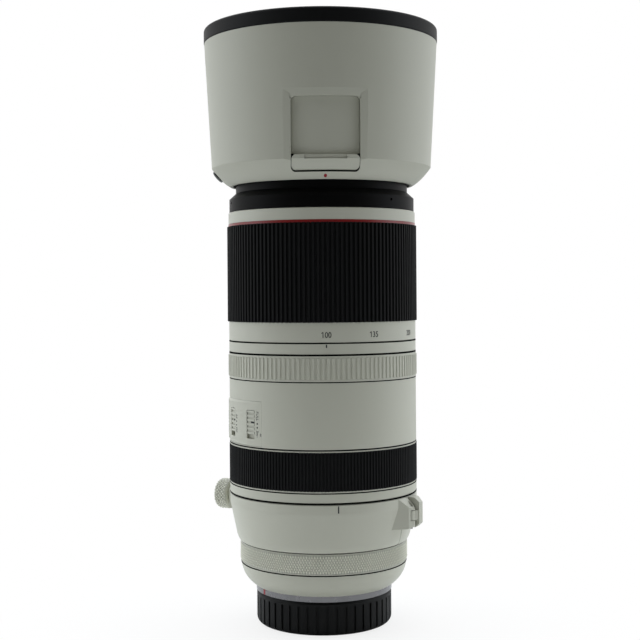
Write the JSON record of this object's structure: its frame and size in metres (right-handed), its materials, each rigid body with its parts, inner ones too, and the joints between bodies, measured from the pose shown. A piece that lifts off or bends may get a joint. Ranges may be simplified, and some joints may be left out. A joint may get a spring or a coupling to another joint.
{
  "type": "camera zoom lens",
  "caption": "White telephoto zoom lens standing on its rear cap, with ribbed focus and zoom rings, an extending front barrel, a hinged tripod collar and a bowl-shaped hood with a filter window.",
  "frame": {"origin": "centre of the rear cap's lower face, on the optical axis", "axes": "+Z along the optical axis towards the hood, -Y through the zoom index and the hood window"},
  "size_m": [0.1156, 0.1333, 0.292],
  "materials": {
    "white_paint": "satin off-white baked paint on aluminium and magnesium",
    "hood_white": "satin off-white paint on moulded plastic",
    "black_plastic": "fine-grained moulded plastic",
    "black_anodised": "matt black anodised",
    "flocking": "black flocked lining",
    "rubber": "matt black moulded rubber",
    "red_line": "dark red lacquer",
    "mount_metal": "turned and polished",
    "contact_gold": "gold plated",
    "bare_aluminium": "dark anodised tube",
    "brass": "turned",
    "blade_steel": "blackened spring steel",
    "glass": "multi-coated optical glass"
  },
  "bodies": {
    "barrel": {"lens_mount": "mount_metal", "mount_screws": "mount_metal", "contact_block": "black_plastic", "contact_pins": "contact_gold", "rear_baffle": "black_plastic", "rear_cover": "white_paint", "rear_barrel": "white_paint", "rear_cell": "black_plastic", "rear_glass": "glass", "guide_rods": "mount_metal", "focus_motor": "black_plastic", "iris_base": "black_plastic", "guide_tube": "bare_aluminium", "main_barrel": "white_paint", "switch_panel": "white_paint"},
    "cap": {"rear_cap": "black_plastic"},
    "control": {"control_ring": "white_paint"},
    "focus": {"focus_sleeve": "white_paint", "focus_rubber": "rubber"},
    "torque": {"torque_ring": "white_paint"},
    "zoom": {"zoom_sleeve": "white_paint", "zoom_rubber": "rubber", "red_line": "red_line", "cam_barrel": "bare_aluminium"},
    "front": {"inner_barrel": "white_paint", "cam_followers": "brass", "front_ring": "black_anodised", "front_retainer": "black_anodised", "front_lens": "glass"},
    "variator": {"variator_cell": "black_plastic", "variator_glass": "glass"},
    "collar": {"collar_rear_half": "white_paint", "collar_hinge_pin": "mount_metal", "tripod_foot": "white_paint"},
    "gate": {"collar_front_half": "white_paint"},
    "knob": {"collar_knob": "white_paint"},
    "hood": {"hood_shell": "hood_white", "hood_rim": "black_plastic", "hood_lining": "flocking", "hood_bayonet": "black_plastic"},
    "door": {"hood_door": "hood_white"},
    "button": {"hood_button": "black_plastic"},
    "focus_group": {"focus_carriage": "black_plastic", "focus_glass": "glass"},
    "iris_drive": {"iris_ring": "blade_steel"},
    "slider_1": {"switch_1": "white_paint"},
    "slider_2": {"switch_2": "white_paint"},
    "slider_3": {"switch_3": "white_paint"},
    "slider_4": {"switch_4": "white_paint"},
    "blade_1": {"iris_blade_1": "blade_steel"},
    "blade_2": {"iris_blade_2": "blade_steel"},
    "blade_3": {"iris_blade_3": "blade_steel"},
    "blade_4": {"iris_blade_4": "blade_steel"},
    "blade_5": {"iris_blade_5": "blade_steel"},
    "blade_6": {"iris_blade_6": "blade_steel"},
    "blade_7": {"iris_blade_7": "blade_steel"},
    "blade_8": {"iris_blade_8": "blade_steel"},
    "blade_9": {"iris_blade_9": "blade_steel"}
  },
  "joints": [
    {"name": "cap_pull", "type": "slide", "parent": "barrel", "child": "cap", "axis": [0, 0, -1], "range_m": [0, 0.05]},
    {"name": "control_turn", "type": "hinge", "parent": "barrel", "child": "control", "pos_m": [0, 0, 0.0355], "axis": [0, 0, 1], "continuous": true},
    {"name": "collar_turn", "type": "hinge", "parent": "barrel", "child": "collar", "pos_m": [0, 0, 0.0531], "axis": [0, 0, 1], "continuous": true},
    {"name": "gate_swing", "type": "hinge", "parent": "collar", "child": "gate", "pos_m": [0.04043, -0.02696, 0.056], "axis": [0, 0, 1], "range_deg": [0, 75]},
    {"name": "knob_turn", "type": "hinge", "parent": "collar", "child": "knob", "pos_m": [-0.04796, 0.02692, 0.0587], "axis": [-0.8721, 0.4894, 0], "range_deg": [0, 720]},
    {"name": "focus_turn", "type": "hinge", "parent": "barrel", "child": "focus", "pos_m": [0, 0, 0.08], "axis": [0, 0, 1], "continuous": true},
    {"name": "torque_turn", "type": "hinge", "parent": "barrel", "child": "torque", "pos_m": [0, 0, 0.127], "axis": [0, 0, 1], "range_deg": [0, 80]},
    {"name": "zoom_turn", "type": "hinge", "parent": "barrel", "child": "zoom", "pos_m": [0, 0, 0.17], "axis": [0, 0, -1], "range_deg": [0, 135]},
    {"name": "front_extend", "type": "slide", "parent": "barrel", "child": "front", "axis": [0, 0, 1], "range_m": [0, 0.086]},
    {"name": "variator_shift", "type": "slide", "parent": "front", "child": "variator", "axis": [0, 0, -1], "range_m": [0, 0.026]},
    {"name": "switch_1_slide", "type": "slide", "parent": "barrel", "child": "slider_1", "axis": [0, 0, -1], "range_m": [0, 0.002]},
    {"name": "switch_2_slide", "type": "slide", "parent": "barrel", "child": "slider_2", "axis": [0, 0, -1], "range_m": [0, 0.002]},
    {"name": "switch_3_slide", "type": "slide", "parent": "barrel", "child": "slider_3", "axis": [0, 0, -1], "range_m": [0, 0.002]},
    {"name": "switch_4_slide", "type": "slide", "parent": "barrel", "child": "slider_4", "axis": [0, 0, -1], "range_m": [0, 0.002]},
    {"name": "hood_twist", "type": "hinge", "parent": "front", "child": "hood", "pos_m": [0, 0, 0.22], "axis": [0, 0, 1], "range_deg": [0, 60]},
    {"name": "door_slide", "type": "slide", "parent": "hood", "child": "door", "axis": [0, -0.0554, 0.9985], "range_m": [0, 0.0264]},
    {"name": "button_press", "type": "slide", "parent": "hood", "child": "button", "axis": [0.7474, -0.0261, 0.6639], "range_m": [0, 0.0014], "stiffness_N_per_m": 400, "springref_m": -0.001},
    {"name": "focus_shift", "type": "slide", "parent": "barrel", "child": "focus_group", "axis": [0, 0, 1], "range_m": [0, 0.015]},
    {"name": "iris_turn", "type": "hinge", "parent": "barrel", "child": "iris_drive", "pos_m": [0, 0, 0.072], "axis": [0, 0, 1], "range_deg": [0, 30]},
    {"name": "blade_1_swing", "type": "hinge", "parent": "barrel", "child": "blade_1", "pos_m": [0.00202, -0.02893, 0.07], "axis": [0, 0, 1], "range_deg": [0, 25]},
    {"name": "blade_2_swing", "type": "hinge", "parent": "barrel", "child": "blade_2", "pos_m": [0.02014, -0.02086, 0.07], "axis": [0, 0, 1], "range_deg": [0, 25]},
    {"name": "blade_3_swing", "type": "hinge", "parent": "barrel", "child": "blade_3", "pos_m": [0.02884, -0.00303, 0.07], "axis": [0, 0, 1], "range_deg": [0, 25]},
    {"name": "blade_4_swing", "type": "hinge", "parent": "barrel", "child": "blade_4", "pos_m": [0.02404, 0.01622, 0.07], "axis": [0, 0, 1], "range_deg": [0, 25]},
    {"name": "blade_5_swing", "type": "hinge", "parent": "barrel", "child": "blade_5", "pos_m": [0.00799, 0.02788, 0.07], "axis": [0, 0, 1], "range_deg": [0, 25]},
    {"name": "blade_6_swing", "type": "hinge", "parent": "barrel", "child": "blade_6", "pos_m": [-0.01179, 0.02649, 0.07], "axis": [0, 0, 1], "range_deg": [0, 25]},
    {"name": "blade_7_swing", "type": "hinge", "parent": "barrel", "child": "blade_7", "pos_m": [-0.02607, 0.01271, 0.07], "axis": [0, 0, 1], "range_deg": [0, 25]},
    {"name": "blade_8_swing", "type": "hinge", "parent": "barrel", "child": "blade_8", "pos_m": [-0.02814, -0.00702, 0.07], "axis": [0, 0, 1], "range_deg": [0, 25]},
    {"name": "blade_9_swing", "type": "hinge", "parent": "barrel", "child": "blade_9", "pos_m": [-0.01705, -0.02346, 0.07], "axis": [0, 0, 1], "range_deg": [0, 25]}
  ],
  "couplings": [
    {"joint": "front_extend", "follows": "zoom_turn", "m_per_rad": 0.036499},
    {"joint": "variator_shift", "follows": "zoom_turn", "m_per_rad": 0.011034},
    {"joint": "blade_1_swing", "follows": "iris_turn", "ratio": 0.8333},
    {"joint": "blade_2_swing", "follows": "iris_turn", "ratio": 0.8333},
    {"joint": "blade_3_swing", "follows": "iris_turn", "ratio": 0.8333},
    {"joint": "blade_4_swing", "follows": "iris_turn", "ratio": 0.8333},
    {"joint": "blade_5_swing", "follows": "iris_turn", "ratio": 0.8333},
    {"joint": "blade_6_swing", "follows": "iris_turn", "ratio": 0.8333},
    {"joint": "blade_7_swing", "follows": "iris_turn", "ratio": 0.8333},
    {"joint": "blade_8_swing", "follows": "iris_turn", "ratio": 0.8333},
    {"joint": "blade_9_swing", "follows": "iris_turn", "ratio": 0.8333}
  ]
}
